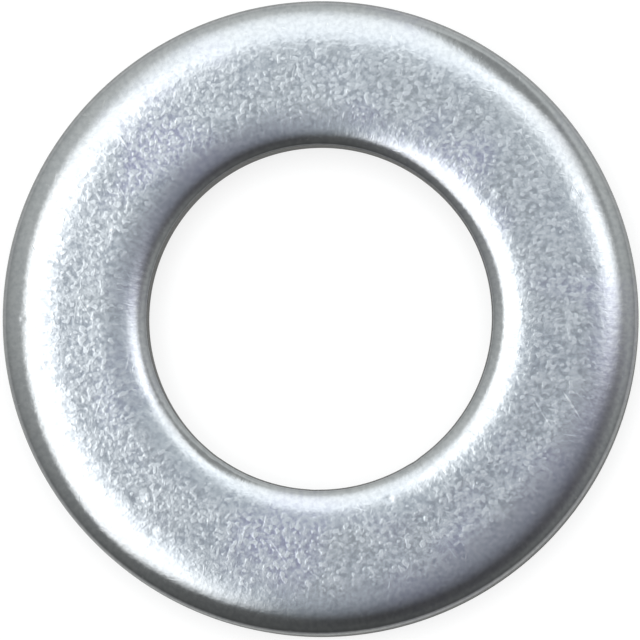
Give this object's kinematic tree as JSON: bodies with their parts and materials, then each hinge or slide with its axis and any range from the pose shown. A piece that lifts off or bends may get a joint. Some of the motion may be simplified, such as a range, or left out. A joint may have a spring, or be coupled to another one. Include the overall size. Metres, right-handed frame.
{
  "type": "flat washer",
  "caption": "Plain flat washer: a stamped steel ring with a round bolt hole, softly rolled upper edges and a flat underside, for spreading clamp load under a bolt head or nut.",
  "frame": {"origin": "centre of the underside, on the axis of the hole", "axes": "+Z along the axis of the hole, from the underside towards the face with the rolled edges"},
  "size_m": [0.024, 0.024, 0.0025],
  "materials": {
    "zinc_plate": "bright zinc plate on tumbled steel: satin, finely grained on the flat faces, smoother on the rolled edges"
  },
  "bodies": {
    "root": {"washer": "zinc_plate"}
  },
  "joints": []
}
